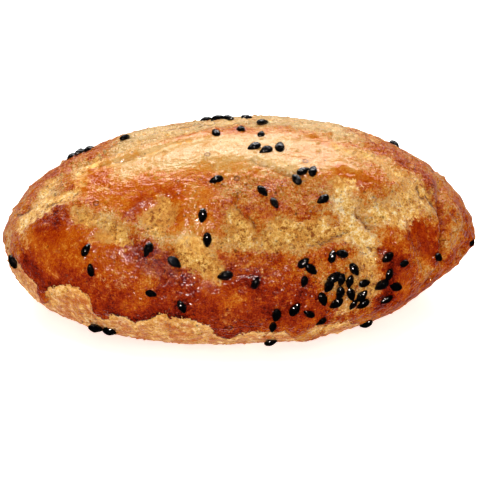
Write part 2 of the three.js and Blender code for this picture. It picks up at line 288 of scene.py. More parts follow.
# route, half width in mm, and how much of the wash is left, from 0 where the crust tore bare to 1
washPaint = {
    "leftRim": ([(-50.6, 14), (-51, 35), (-50.4, 60), (-48, 85)], 0.9, 0.6),
    "leftEdge": ([(-48.6, 56), (-48.8, 36)], 0.9, 0.9),
    "leftSpots": ([(-46.2, 39), (-45.6, 29)], 0.6, 0.3),
    "shoulder": ([(-46.5, 57), (-43.5, 63), (-39.5, 64), (-36, 62)], 2.3, 0.02),
    "shoulderLow": ([(-47.6, 49), (-44, 54), (-41, 58)], 1.3, 0.05),
    "shoulderHigh": ([(-44, 73), (-41.5, 86), (-37, 91), (-31, 94)], 2.0, 0.12),
    "behindIsland": ([(-34.6, 84), (-34.2, 73)], 1.3, 0.2),
    "brownIsland": ([(-38.8, 101), (-37, 80)], 1.7, 1),
    "upperStretchLine": ([(-31, 94), (-22, 99), (-12, 104)], 0.9, 0.1),
    "lowerStretchLine": ([(-33, 82), (-22, 87), (-9, 92)], 0.6, 0.3),
    "farTop": ([(-22, 110), (-8, 113), (12, 112), (28, 102)], 3.0, 0.52),
    "leftTear": ([(-33, 46), (-29.4, 41), (-25, 37)], 1.9, 0),
    "leftTearLow": ([(-30.5, 35), (-26, 34), (-23, 31)], 1.3, 0.1),
    "tearWedge": ([(-32.9, 38), (-28.7, 39)], 0.7, 1),
    "roundDent": ([(-18.6, 44), (-16.5, 47.5), (-15, 44), (-17, 40)], 2.0, 0.03),
    "dentFoot": ([(-19.3, 37), (-15.4, 35)], 0.9, 0.3),
    "paleUpright": ([(-11, 28), (-8.5, 24.5), (-6.3, 22)], 2.2, 0),
    "paleUprightHigh": ([(-9.5, 31), (-6.5, 31)], 1.6, 0.3),
    "uprightFoot": ([(-5.5, 20.5), (-4.8, 18.5)], 1.2, 0.15),
    "uprightToBand": ([(-5, 32), (-2, 33), (1, 32)], 1.7, 0.12),
    "paleWedge": ([(-1, 42), (1, 38), (2.5, 34)], 1.9, 0),
    "centreBand": ([(8, 35), (12, 36.5), (17, 37.5)], 2.9, 0.02),
    "centreBandLow": ([(1, 31), (6, 31), (12, 30.5), (16, 31)], 1.3, 0.1),
    "orangeTongue": ([(4.5, 41), (5.3, 35)], 1.0, 0.75),
    "rightTear": ([(22.5, 57), (23, 47), (25, 38)], 2.9, 0),
    "rightTearHigh": ([(24, 60), (27, 55)], 1.6, 0.3),
    "rightTearLow": ([(17, 33.5), (22, 34), (27.5, 33)], 2.0, 0.03),
    "besideTear": ([(26, 49), (29.5, 46)], 2.0, 0.12),
    "rightColumn": ([(28, 30), (27.8, 22), (28.2, 14), (28.4, 7)], 1.7, 0.05),
    "besideFold": ([(30, 46), (34, 43.5), (36.5, 47)], 2.2, 0.05),
    "fibrousHigh": ([(34.5, 54), (37, 61), (40.5, 65)], 2.6, 0.22),
    "fibrousLow": ([(37.5, 52), (41.5, 57)], 1.8, 0.3),
    "fibrousTop": ([(33, 71), (38, 75)], 1.6, 0.35),
    "topPores": ([(22, 86), (31, 81)], 2.0, 0.4),
    "crownCrack": ([(3.5, 71), (7.5, 68.5), (11.5, 66)], 0.8, 0.4),
    "thicketGround": ([(20.5, 13), (23, 6), (25.5, 17), (25, 22)], 2.6, 0.38),
    "thicketLow": ([(21, 0), (28, 0)], 1.6, 0.5),
    "tornStreak": ([(25.6, 56), (27.6, 53)], 0.9, 0.9),
    "topOfBrown": ([(30.5, 37.5), (34, 38.5)], 0.8, 0.9),
    "brownBesideUpright": ([(-3.4, 27), (-1.6, 23)], 1.5, 1),
    "thicketTop": ([(16, 27.5), (20.5, 28.5), (23.5, 28)], 1.3, 1),
    "lowRightPatch": ([(17, -12.5), (22.5, -12.5)], 1.4, 0.1),
    "tipBare": ([(47.6, 69), (48.6, 57), (48.4, 48)], 0.6, 0.35),
    "lobeStreaks": ([(-29, 15), (-26, 12), (-23.5, 16)], 0.6, 0.45),
    "backTear": ([(-20, 143), (-4, 140), (14, 138)], 2.8, 0.03),
    "backTearLow": ([(10, 150), (22, 146)], 2.0, 0.15),
    "backShoulder": ([(-44, 128), (-38, 140), (-36, 152)], 2.4, 0.1),
    "backTip": ([(36, 150), (42, 140)], 2.2, 0.25),
    "backSpot": ([(-16, 160), (-13, 157)], 2.4, 0.1),
}

# route, half width in mm, and depth of the bake from 0, hardly coloured, to 1, nearly burnt
bakePaint = {
    "topSheen": ([(-24, 77), (-8, 78), (8, 78), (13, 77)], 7.0, 0.16),
    "topSheenRight": ([(14, 77), (23, 74)], 4.0, 0.27),
    "belowSheen": ([(-22, 67), (-6, 66), (4, 66)], 1.2, 0.32),
    "farTop": ([(-25, 112), (0, 116), (22, 108)], 6.0, 0.1),
    "farLeftRim": ([(-49, 60), (-42, 100), (-30, 118)], 3.0, 0.5),
    "leftEdge": ([(-49.6, 58), (-49.4, 36)], 1.2, 0.54),
    "leftLobe": ([(-43, 30), (-37, 24), (-30, 18)], 7.5, 0.56),
    "leftLobeGold": ([(-33, 32), (-26, 24), (-25, 16)], 3.2, 0.56),
    "leftLobeHem": ([(-46, 16), (-42, 6), (-36, 14), (-32, 12)], 2.2, 0.84),
    "leftDrip": ([(-42.6, 8), (-42.4, -12)], 1.4, 0.86),
    "redPatch": ([(-42, 50), (-38, 49.5), (-39, 43), (-42, 42)], 2.2, 0.84),
    "orangeMiddle": ([(-31, 76), (-29.5, 62), (-24.2, 56), (-10, 58)], 4.2, 0.48),
    "orangeDeep": ([(-32.5, 76), (-29.5, 71)], 1.8, 0.54),
    "belowShoulderCrack": ([(-34.7, 65), (-33.2, 56)], 1.8, 0.5),
    "dentRing": ([(-19.6, 57), (-15.4, 54.5), (-12, 49), (-11.2, 42), (-12.8, 36)], 0.9, 0.6),
    "redBesideDent": ([(-21.5, 52), (-22.3, 46)], 1.0, 0.72),
    "goldenRight": ([(-9, 48), (-7, 41), (-9.6, 34)], 1.8, 0.32),
    "goldenBelow": ([(-19.3, 35), (-15.4, 32.5), (-11.7, 33)], 1.4, 0.24),
    "blistered": ([(-6, 52), (4, 54), (14, 50), (17, 44)], 5.5, 0.42),
    "blisteredLow": ([(-3, 45), (6, 44), (13, 45)], 1.6, 0.6),
    "lowMiddle": ([(-28, 3), (-18, 6), (-8, 6)], 5.0, 0.74),
    "lowMiddleHem": ([(-24, -1), (-19, -1), (-12, 1)], 1.8, 0.88),
    "middleDrip": ([(-5, 0), (-3, -10)], 3.0, 0.76),
    "wetPuddle": ([(-20.5, 29), (-18, 22), (-13, 22), (-11, 16)], 3.0, 0.8),
    "centreDark": ([(-1, 18), (4, 18), (8, 20)], 4.6, 0.64),
    "centreDarkest": ([(3.2, 15), (1, 9)], 2.4, 0.95),
    "belowCentre": ([(0, 2), (9, 6), (15, 3)], 5.5, 0.8),
    "lowRight": ([(12, -5), (22, -5), (30, -8)], 3.0, 0.66),
    "thicketTopBrown": ([(16, 26), (23, 27)], 2.2, 0.62),
    "innerSeeds": ([(14, 20), (18, 17)], 2.4, 0.6),
    "rightBrown": ([(33, 28), (34, 14), (33, 0)], 4.2, 0.9),
    "rightBrownLow": ([(36, 8), (38, -6)], 3.0, 0.62),
    "goldStreak": ([(-20, 9), (-18.6, 17)], 0.5, 0.28),
    "goldPatch": ([(-23.8, 2), (-21.3, 5)], 0.8, 0.42),
    "goldMiddle": ([(-2.3, 7), (0.3, 9)], 0.7, 0.36),
    "goldRim": ([(-45.2, 40), (-44.2, 33)], 0.6, 0.3),
    "thicketGold": ([(17.5, 23), (19.3, 10), (22.7, 4)], 1.2, 0.42),
    "rightGold": ([(34.3, 4), (37.2, -4)], 1.0, 0.46),
    "redTongue": ([(31, 36), (32.7, 30), (35.2, 35), (35.6, 26)], 1.6, 0.52),
    "redPanel": ([(38, 44), (40.4, 36), (42, 24)], 3.0, 0.74),
    "foldDark": ([(42.9, 70), (44.3, 58), (44.7, 43), (44.3, 25), (43.1, 10)], 0.8, 0.96),
    "ridge": ([(44.6, 72), (46.2, 59), (46.7, 39), (46, 19)], 0.9, 0.4),
    "tipDark": ([(48, 69), (49.6, 57), (50, 27)], 1.6, 0.8),
    "tip": ([(51.5, 60), (52, 20), (51, -10)], 1.4, 0.62),
    "tipLow": ([(47.8, 5), (45.4, -4)], 2.0, 0.6),
    "topRightBand": ([(25.2, 107), (32.1, 95), (37.6, 88), (42, 80)], 2.1, 0.6),
    "topRightStreak": ([(22.2, 65), (26.3, 61), (32.4, 61)], 1.2, 0.56),
    "rustBesideFold": ([(35.6, 83), (38.6, 77), (41, 70)], 1.2, 0.64),
    "footRight": ([(34, -16), (42, -14)], 3.0, 0.66),
    "backLow": ([(-36, 176), (-10, 184), (24, 182)], 6.0, 0.7),
    "backMiddle": ([(-30, 150), (0, 158), (28, 160)], 6.0, 0.54),
    "backRed": ([(20, 168), (32, 164)], 4.0, 0.82),
}

# route, half width in mm, and how wet and glossy the wash set, from 0 to 1
wetPaint = {
    "topSheen": ([(-24, 80), (8, 82), (24, 78)], 8, 0.1),
    "leftLobe": ([(-40, 26), (-30, 18)], 7, 0.2),
    "puddle": ([(-20.5, 29), (-18, 22), (-13, 22), (-10, 15)], 3.4, 1.0),
    "centreDark": ([(-1, 17), (4, 17), (9, 18)], 4, 0.75),
    "redPanel": ([(38.5, 43), (40.5, 34), (42, 24)], 4, 0.5),
    "rightBrown": ([(33, 28), (34, 14), (33, 0)], 4, 0.35),
    "lowRight": ([(24, -8), (34, -10), (42, -8)], 4, 0.6),
    "tip": ([(48.5, 60), (50, 30), (50, 5)], 2, 0.6),
    "backRed": ([(20, 168), (32, 164)], 4.0, 0.9),
}

# route, half width in mm, and how thickly blisters stand, from 0 to 1
blisterPaint = {
    "blistered": ([(-8, 54), (4, 56), (16, 52)], 5, 0.75),
    "belowCrownFold": ([(5, 66), (16, 63)], 1.8, 1.0),
    "puddle": ([(-20, 30), (-16, 20), (-10, 15)], 3.2, 1.0),
    "redPatch": ([(-42, 44), (-38, 47)], 2.6, 0.6),
    "thicket": ([(14, 12), (26, 6)], 5, 0.4),
    "rightBrown": ([(30, 40), (36, 40), (33, 20)], 3, 0.5),
    "tip": ([(48, 50), (49, 10)], 3, 0.7),
    "backLow": ([(-20, 176), (20, 176)], 5, 0.7),
}

# route, half width in mm, and how fibrous the torn crumb is, from 0 to 1
fibrePaint = {
    "fibrousHigh": ([(33, 56), (37, 62), (41, 66)], 4, 1.0),
    "besideFold": ([(30, 46), (36, 45)], 3.5, 0.9),
    "rightTear": ([(23, 54), (26, 36)], 4, 0.5),
    "centreBand": ([(-1, 34), (17, 38)], 3.6, 0.8),
    "leftTear": ([(-32, 44), (-22, 35)], 3, 0.6),
    "backTear": ([(-20, 143), (14, 138)], 3.6, 0.9),
}

# route, half width in mm, and how pale the bare dough is, from 0 to 1
palePaint = {
    "shoulder": ([(-46, 57), (-36, 62)], 4, 0.6),
    "farTop": ([(-25, 112), (0, 116), (22, 108)], 5, 1.0),
    "leftTear": ([(-32, 42), (-23, 34)], 3.5, 0.44),
    "roundDent": ([(-17.5, 46.5), (-15.6, 44)], 3.4, 0.16),
    "dentDeep": ([(-14.2, 46), (-13.8, 42)], 0.8, 0.08),
    "upright": ([(-11, 28), (-6.3, 22)], 2.6, 0.34),
    "centre": ([(-1, 42), (2, 34), (17, 37)], 3.0, 0.38),
    "rightTear": ([(24, 58), (26, 34), (30, 46), (36, 46)], 4, 0.76),
    "fibrous": ([(34, 56), (40, 64)], 4, 0.48),
    "thicket": ([(21, 14), (26, 14)], 4, 0.22),
}

# route, half width in mm, and how smoothly the wash lies, from 0 to 1
smoothPaint = {
    "topSheen": ([(-27, 76), (-8, 82), (10, 80), (24, 76)], 8, 0.9),
    "leftLobe": ([(-42, 26), (-34, 28), (-27, 20)], 6, 0.75),
    "leftHem": ([(-46, 12), (-36, 12), (-30, 4)], 3, 0.5),
    "orangeMiddle": ([(-31, 74), (-28, 60), (-22, 54), (-9, 52), (-9, 36)], 4.5, 0.85),
    "lowMiddle": ([(-24, 8), (-8, 8), (8, 8)], 5, 0.4),
    "rightBrown": ([(33, 34), (33, 14), (34, 0)], 4, 0.5),
    "topRight": ([(26, 84), (34, 70)], 4, 0.4),
    "belowSheen": ([(-28, 70), (-8, 68), (6, 69)], 3.5, 0.8),
    "roundDent": ([(-17.5, 46), (-15.6, 43)], 2.5, 0.8),
    "belowCentre": ([(-4, 10), (8, 10), (14, 2)], 4, 0.5),
    "redPanel": ([(38.5, 42), (41, 34), (41, 22)], 2.2, 0.85),
}

# route, half width in mm, and depth in mm of small hollows, into which the material also paints shade
hollowPaint = {
    "dimple": ([(25.6, 47), (26.8, 44), (28, 40.5)], 0.4, 1.5),
    "notch": ([(28.2, 30), (29.8, 28)], 0.2, 0.5),
    "besideDimple": ([(22.8, 50), (23.6, 44)], 0.6, 0.35),
    "roundDent": ([(-14.6, 47), (-13.8, 42)], 0.7, 0.35),
    "foldCrease": ([(43, 70), (44.4, 58), (44.8, 43), (44.2, 25), (43, 10)], 0.3, 0.5),
    "underCrown": ([(3.5, 69), (8, 65), (13, 62)], 0.4, 0.3),
    "tipHollow": ([(49.2, 56), (49.4, 46)], 0.5, 0.4),
    "tipHollowLow": ([(48.8, 30), (49.6, 16)], 0.5, 0.4),
}
bubbleRings = [(-30.2, 53), (-1.9, -5), (14.2, 71), (-6.6, 75), (-0.3, 61)]  # small burst bubbles

# cracks and ledges in the skin, too fine for the model's solid: the route of each, whose left side stands
# higher, and how deep and dark it is inside, from 0 to 1: the darkness is painted shade in the crack
crackLines = {
    "shoulderCrack": ([(-41.8, 59.5), (-39.7, 61), (-38.2, 63)], 0.9),
    "shoulderCrackHigh": ([(-37.3, 63), (-34.9, 62)], 0.6),
    "shoulderCrackLeft": ([(-48.8, 71), (-46.6, 71)], 0.8),
    "redPatchLedge": ([(-36.5, 56), (-40, 58), (-43.3, 61), (-46.3, 68)], 0.1),
    "upperStretchLine": ([(-30.4, 87), (-23.7, 88.5), (-16, 85)], 0.3),
    "farStretchLine": ([(-28.7, 109), (-19.8, 112), (-13.1, 114), (-5.3, 113)], 0.5),
    "farStretchLeft": ([(-39.9, 108), (-35.4, 109)], 0.3),
    "tipCrease": ([(43, 75), (44.5, 54), (44.9, 31), (43.8, 9), (41, -8)], 0.5),
    "panelRidge": ([(36.2, 41), (37.7, 29), (39.6, 14)], 0.4),
    "panelRidgeInner": ([(37.7, 45), (39, 35), (40.1, 21)], 0.2),
    "panelRidgeRight": ([(40.9, 45), (41.4, 32), (42, 18)], 0.2),
    "dimple": ([(26.4, 45), (27.2, 42.6), (28, 40.2)], 0.8),
    "notch": ([(28, 30), (29.6, 28.5)], 0.7),
    "bandLedge": ([(22.7, 36), (20.8, 34), (18.1, 32), (15.2, 31)], 0.6),
    "blisterPit": ([(-0.6, 51), (0.3, 46)], 0.4),
    "blisterPitLow": ([(2.1, 43), (3.6, 39)], 0.5),
    "paleValley": ([(-1.2, 35), (-0.1, 32), (1.4, 29)], 0.15),
    "crownCrack": ([(3.2, 70), (6.2, 67), (8.8, 63.5), (13, 62)], 0.35),
    "creaseBranch": ([(43.2, 54), (41.7, 63)], 0.9),
    "fibrousCrack": ([(39.1, 67), (40.4, 62)], 0.7),
    "dentEdge": ([(-14.9, 38.5), (-16.4, 40.5), (-18, 41)], 0.3),
    "tearLip": ([(-27.6, 30), (-29.3, 31), (-31.4, 34.5)], 0.1),
    "topRightEdge": ([(31, 88), (24.3, 93), (13.3, 91)], 0.0),
    "topRightFold": ([(29.7, 60), (26, 65), (22.7, 68)], 0.0),
    "tipLine": ([(46.1, 62), (47.8, 53)], 0.3),
    "tipLineLow": ([(46.8, 38), (49.3, 49)], 0.3),
    "backCrack": ([(-20, 146), (-6, 143), (8, 141)], 0.6),
    "backCrackShort": ([(18, 148), (24, 145)], 0.4),
    "backCrease": ([(43, 95), (44.6, 120), (44.8, 150)], 0.6),
}
cracks = {"reach": 3.0, "width": 0.75, "depth": 0.45, "lip": 0.22}  # mm, of the shape that the mesh carries


# the darkness returned here is how much painted shade goes into the crack
def crackDistances(points):  # how far the nearest crack is, above 0 on its left, and how dark it is
    away = np.full(len(points), cracks["reach"])
    side = np.full(len(points), cracks["reach"])
    dark = np.zeros(len(points))
    out = outwards(points)
    for route, darkness in crackLines.values():
        line = lineOver(route)
        near = nearTo(points, line, cracks["reach"])
        for start, end in zip(line[:-1], line[1:]):
            piece = end - start
            share = np.clip((points[near] - start) @ piece / (piece @ piece), 0, 1)
            gap = points[near] - start - share[:, None] * piece
            distance = np.linalg.norm(gap, axis=-1)
            closer = distance < away[near]
            leftwards = (np.cross(out[near], piece / np.linalg.norm(piece)) * gap).sum(axis=-1)
            away[near[closer]] = distance[closer]
            side[near[closer]] = leftwards[closer]
            dark[near[closer]] = darkness
    return away, side, dark


# mm, of what makes the painted outlines ragged
crooked = {"sizes": (6.0, 2.4, 1.0), "shifts": (1.0, 0.55, 0.3), "seed": 3}


def crookedly(points):
    noise.seed_set(crooked["seed"])  # without it the noise differs in each run
    shifted = np.array(points)
    for seed, (size, shift) in enumerate(zip(crooked["sizes"], crooked["shifts"])):
        start = Vector((seed, 0, 0))
        shifted += shift * np.array([noise.noise_vector(Vector(point) / size + start) for point in points])
    return shifted


def washHemAt(points, around):  # mm above the hem
    line = np.array(washHem, float)
    degrees = np.degrees(around)
    front = degrees < 90
    x = np.where(front, points[:, 0], points[:, 0] - backHemShift)
    fromHorizon = np.where(front, degrees, 180 - degrees)
    return (fromHorizon - np.interp(x, line[:, 0], line[:, 1])) * crust["mmPerDegree"]


def painted(points, start, paint, feather):
    value = np.array(np.broadcast_to(start, len(points)), float)
    for route, width, tone in paint.values():
        line = lineOver(route)
        near = nearTo(points, line, width + feather)
        share = eased((width + feather - awayFrom(points[near], line)) / (2 * feather))
        value[near] += (tone - value[near]) * share
    return value


# the crust

crust = {
    "alongCells": 176, "acrossCells": 102,  # of a box of squares that is blown up to the loaf
    # mm over which the painted strokes fade
    "hemSoftness": 2.4, "washFeather": 2.0, "bakeFeather": 2.6, "otherFeather": 2.5, "hollowFeather": 1.3,
    "mmPerDegree": 0.38,  # round the belly
    "poolDepth": 3.0,  # mm above the hem to which the wash pooled
    "plainBake": 0.42, "plainWet": 0.12, "plainBlister": 0.18, "plainFibre": 0.25, "plainPale": 0.58,
    "footFeather": 2.0,
    "seedHalo": 2.6,  # mm round a seed in which the wash pooled
}


def boxOfSquares(along, across):
    counts = np.array([along, across, across])
    cell = np.indices(counts + 1).reshape(3, -1).T
    onSurface = ((cell == 0) | (cell == counts)).any(axis=1)
    number = np.full(len(cell), -1)
    number[onSurface] = np.arange(onSurface.sum())
    number = number.reshape(counts + 1)
    faces = []
    for axis in range(3):
        for side in (0, -1):
            sheet = np.take(number, side, axis=axis)
            corners = [sheet[:-1, :-1], sheet[1:, :-1], sheet[1:, 1:], sheet[:-1, 1:]]
            if (axis == 1) == (side == -1):
                corners.reverse()  # so that the face points out of the box
            faces.append(np.stack(corners, axis=-1).reshape(-1, 4))
    return 2 * cell[onSurface] / counts - 1, np.concatenate(faces)


def crustMesh():
    corners, faces = boxOfSquares(crust["alongCells"], crust["acrossCells"])
    ball = np.tan(corners * math.pi / 4)
    ball /= np.linalg.norm(ball, axis=1, keepdims=True)
    around = np.arctan2(ball[:, 2], -ball[:, 1])
    around = np.where(around < -math.pi / 2, around + 2 * math.pi, around)  # the back goes on from 180
    dough = doughPoint(ball[:, 0], around)
    away, side, dark = crackDistances(crookedly(dough))
    hollow = painted(dough, 0.0, hollowPaint, crust["hollowFeather"])
    ledge = cracks["lip"] * np.tanh(side / cracks["width"]) - cracks["depth"]
    height = modelledRelief(dough) + ledge * np.exp(-((away / cracks["width"]) ** 2)) - hollow
    shaped = dough + outwards(dough) * height[:, None]
    mesh = bpy.data.meshes.new("crust")
    mesh.vertices.add(len(shaped))
    mesh.vertices.foreach_set("co", (shaped * mm).ravel())
    mesh.loops.add(faces.size)
    mesh.loops.foreach_set("vertex_index", faces.ravel())
    mesh.polygons.add(len(faces))
    mesh.polygons.foreach_set("loop_start", np.arange(0, faces.size, 4))
    mesh.update(calc_edges=True)
    mesh.shade_smooth()
    shaping = {"crackAway": away, "crackSide": side, "crackDepthAndShade": dark, "hollow": hollow}
    paintCrust(mesh, dough, around, shaping)
    return mesh


def paintCrust(mesh, dough, around, shaping):
    feather = crust["otherFeather"]
    straight, dough = dough, crookedly(dough)
    aboveHem = washHemAt(dough, around)
    hem = eased(aboveHem / crust["hemSoftness"] + 0.5)
    seeds = np.array([doughPlace(x, around) for x, around, _ in seedPlaces()])
    rings = np.array([doughPlace(*spot) for spot in bubbleRings])
    fromSeed, fromRing = [
        np.min([np.linalg.norm(straight - spot, axis=1) for spot in spots], axis=0)
        for spots in (seeds, rings)
    ]
    fields = {
        "wash": painted(dough, hem, washPaint, crust["washFeather"]),
        "bake": painted(dough, crust["plainBake"], bakePaint, crust["bakeFeather"]),
        "wet": painted(dough, crust["plainWet"], wetPaint, feather),
        "blister": painted(dough, crust["plainBlister"], blisterPaint, feather),
        "fibre": painted(dough, crust["plainFibre"], fibrePaint, feather),
        "pale": painted(dough, crust["plainPale"], palePaint, feather),
        "foot": eased(-aboveHem / crust["footFeather"]),
        "smooth": painted(dough, 0.0, smoothPaint, feather),
        "ring": fromRing,
        **shaping,
        "halo": eased(1 - fromSeed / crust["seedHalo"]),
        "pool": eased(1 - np.abs(aboveHem) / crust["poolDepth"]),
    }
    for name, values in fields.items():
        mesh.attributes.new(name, "FLOAT", "POINT").data.foreach_set("value", values.astype(np.float32))
    place = mesh.attributes.new("dough", "FLOAT_VECTOR", "POINT")
    place.data.foreach_set("vector", straight.astype(np.float32).ravel())


# Patterns that both the crust's relief and its material read, so that colour and shape agree. All sizes are
# mm, as the dough attribute counts in mm. A wave is its size, its depth, a seed, and how far it is drawn out.
alongLoaf, downLoaf = (4, 1, 1), (1, 4, 4)
pattern = {
    "frays": [(2.4, 0.2, 1), (1.0, 0.24, 2), (0.45, 0.24, 3)],  # of the wash's edge
    "sharpEdge": 0.06, "softEdge": 0.42,  # half width of the wash's edge, as a share
    "softShare": 0.65, "softWave": (6.0, 1.2, 8),  # where the edge is soft
    "blisterSpacing": 1.5, "blisterRadius": 0.62, "bubbleSpacing": 0.62, "bubbleRadius": 0.25,
    "pitSpacing": 2.1, "pitRadius": 0.26, "pitShare": 0.3,
    "poreSpacing": 0.85, "poreRadius": 0.18, "poreShare": 0.6,
    "speckSpacing": 1.4, "speckEdge": (0.22, 0.1), "speckShare": 0.3,
    "ringRadius": 0.55, "ringEdge": (0.28, 0.05),  # of a burst bubble
    "crackWidth": 0.3, "crackWidthWave": (1.6, 0.3, 43), "crackReach": (1.1, 0.6),
    "crackWaves": [(1.2, 0.35, 41), (0.4, 0.15, 42)],
    "creases": (1.1, 1, 9, (2.5, 1, 1)), "fibres": (0.42, 1, 5, downLoaf), "grain": (0.3, 1, 21),
    "skinLines": (0.36, 1, 7, alongLoaf), "wrinkles": (2.6, 1, 6),
}


def weighed(tree, start, *parts):  # adds values times their weights
    for value, weight in parts:
        start = addNode(tree, "ShaderNodeMath", [value, weight, start], operation="MULTIPLY_ADD")
    return start


def waved(tree, place, start, *waves):  # adds waves to a value
    for size, depth, seed, *drawnOut in waves:
        steps = [1 / size / s for s in (drawnOut[0] if drawnOut else (1, 1, 1))]
        shift = [17.3 * seed, 5.9 * seed, 11.1 * seed]
        moved = addNode(tree, "ShaderNodeVectorMath", [place, steps, shift], operation="MULTIPLY_ADD")
        wave = {"Vector": moved, "Scale": 1.0, "Detail": 2.0, "Roughness": 0.6}
        wave = addNode(tree, "ShaderNodeTexNoise", wave)
        wave = addNode(tree, "ShaderNodeMath", [wave, 4 * depth, -2 * depth], operation="MULTIPLY_ADD")
        start = addNode(tree, "ShaderNodeMath", [wave, start], operation="ADD")
    return start


def dotted(tree, place, spacing, share, seed):  # how far the nearest dot is, and 1 where it is a chosen one
    steps, shift = [1 / spacing] * 3, [7.7 * seed, 3.1 * seed, 9.4 * seed]
    moved = addNode(tree, "ShaderNodeVectorMath", [place, steps, shift], operation="MULTIPLY_ADD")
    cells = addNode(tree, "ShaderNodeTexVoronoi", {"Vector": moved, "Scale": 1.0})
    draw = addNode(tree, "ShaderNodeSeparateXYZ", [cells.outputs["Color"]])
    chosen = addNode(tree, "ShaderNodeMath", [draw, share], operation="LESS_THAN")
    return addNode(tree, "ShaderNodeMath", [cells.outputs["Distance"], spacing], operation="MULTIPLY"), chosen


def washCover(tree, place, wash, pool):  # 1 where the wash covers the crust, with a frayed edge
    frayed = waved(tree, place, wash, *pattern["frays"])
    soft = waved(tree, place, pattern["softShare"], pattern["softWave"])
    soft = addNode(tree, "ShaderNodeMath", [soft, pool], operation="SUBTRACT", use_clamp=True)
    width = addNode(tree, "ShaderNodeMix", {0: soft, 2: pattern["sharpEdge"], 3: pattern["softEdge"]})
    low = addNode(tree, "ShaderNodeMath", [0.5, width], operation="SUBTRACT")
    high = addNode(tree, "ShaderNodeMath", [0.5, width], operation="ADD")
    cover = addNode(tree, "ShaderNodeMapRange", [frayed, low, high], interpolation_type="SMOOTHSTEP")
    return cover, frayed, soft


def domes(tree, place, kind, share, seed):
    away, chosen = dotted(tree, place, pattern[kind + "Spacing"], share, seed)
    off = addNode(tree, "ShaderNodeMath", [away, pattern[kind + "Radius"]], operation="DIVIDE")
    square = addNode(tree, "ShaderNodeMath", [off, off], operation="MULTIPLY")
    dome = addNode(tree, "ShaderNodeMath", [1.0, square], operation="SUBTRACT", use_clamp=True)
    return addNode(tree, "ShaderNodeMath", [dome, chosen], operation="MULTIPLY")


def cups(tree, place, kind, seed):  # small round hollows
    away, chosen = dotted(tree, place, pattern[kind + "Spacing"], pattern[kind + "Share"], seed)
    radius = pattern[kind + "Radius"]
    edge = radius * 1.4, radius * 0.5
    cup = addNode(tree, "ShaderNodeMapRange", [away, *edge], interpolation_type="SMOOTHSTEP")
    return addNode(tree, "ShaderNodeMath", [cup, chosen], operation="MULTIPLY")


def ringLine(tree, away):  # 1 on the rim of a burst bubble
    off = addNode(tree, "ShaderNodeMath", [away, pattern["ringRadius"]], operation="SUBTRACT")
    off = addNode(tree, "ShaderNodeMath", [off], operation="ABSOLUTE")
    return addNode(tree, "ShaderNodeMapRange", [off, *pattern["ringEdge"]], interpolation_type="SMOOTHSTEP")


def crackLine(tree, place, away, side):  # 1 in the middle of a crack, which is ragged and fades at its ends
    side = waved(tree, place, side, *pattern["crackWaves"])
    off = addNode(tree, "ShaderNodeMath", [side], operation="ABSOLUTE")
    width = waved(tree, place, pattern["crackWidth"], pattern["crackWidthWave"])
    deep = addNode(tree, "ShaderNodeMapRange", [off, width, 0.0], interpolation_type="SMOOTHSTEP")
    reach = pattern["crackReach"]
    near = addNode(tree, "ShaderNodeMapRange", [away, *reach], interpolation_type="SMOOTHSTEP")
    return addNode(tree, "ShaderNodeMath", [deep, near], operation="MULTIPLY")


# the crust's fine relief, mm

fineRelief = {
    "Film thickness": 0.2,
    "Tear depth": 0.25,
    "Blister height": 0.36,
    "Pit depth": 0.35,
    "Fibre height": 0.25,
    "Wrinkle height": 0.32,
    "Seed seat height": 0.3,  # of the dough and wash that rise round each seed
}
wrinkleCalm = 0.8  # how much of the wrinkles a smooth place loses


def treeAsking(name, values):  # a tree that asks for geometry, for each of the values and for a finish
    tree = bpy.data.node_groups.new(name, "GeometryNodeTree")
    sockets = [("Geometry", "Geometry"), *((value, "Float") for value in values), ("Finish", "Material")]
    for label, kind in sockets:
        tree.interface.new_socket(label, in_out="INPUT", socket_type="NodeSocket" + kind)
    tree.interface.new_socket("Geometry", in_out="OUTPUT", socket_type="NodeSocketGeometry")
    return tree, addNode(tree, "NodeGroupInput").outputs


def attribute(tree, name, kind):
    return addNode(tree, "GeometryNodeInputNamedAttribute", {"Name": name}, data_type=kind)


def pushedOut(tree, geometry, height):  # moves a surface outwards by a height in mm
    height = addNode(tree, "ShaderNodeMath", [height, mm], operation="MULTIPLY")
    normal = addNode(tree, "GeometryNodeInputNormal")
    push = addNode(tree, "ShaderNodeVectorMath", {0: normal, "Scale": height}, operation="SCALE")
    return addNode(tree, "GeometryNodeSetPosition", {"Geometry": geometry, "Offset": push})


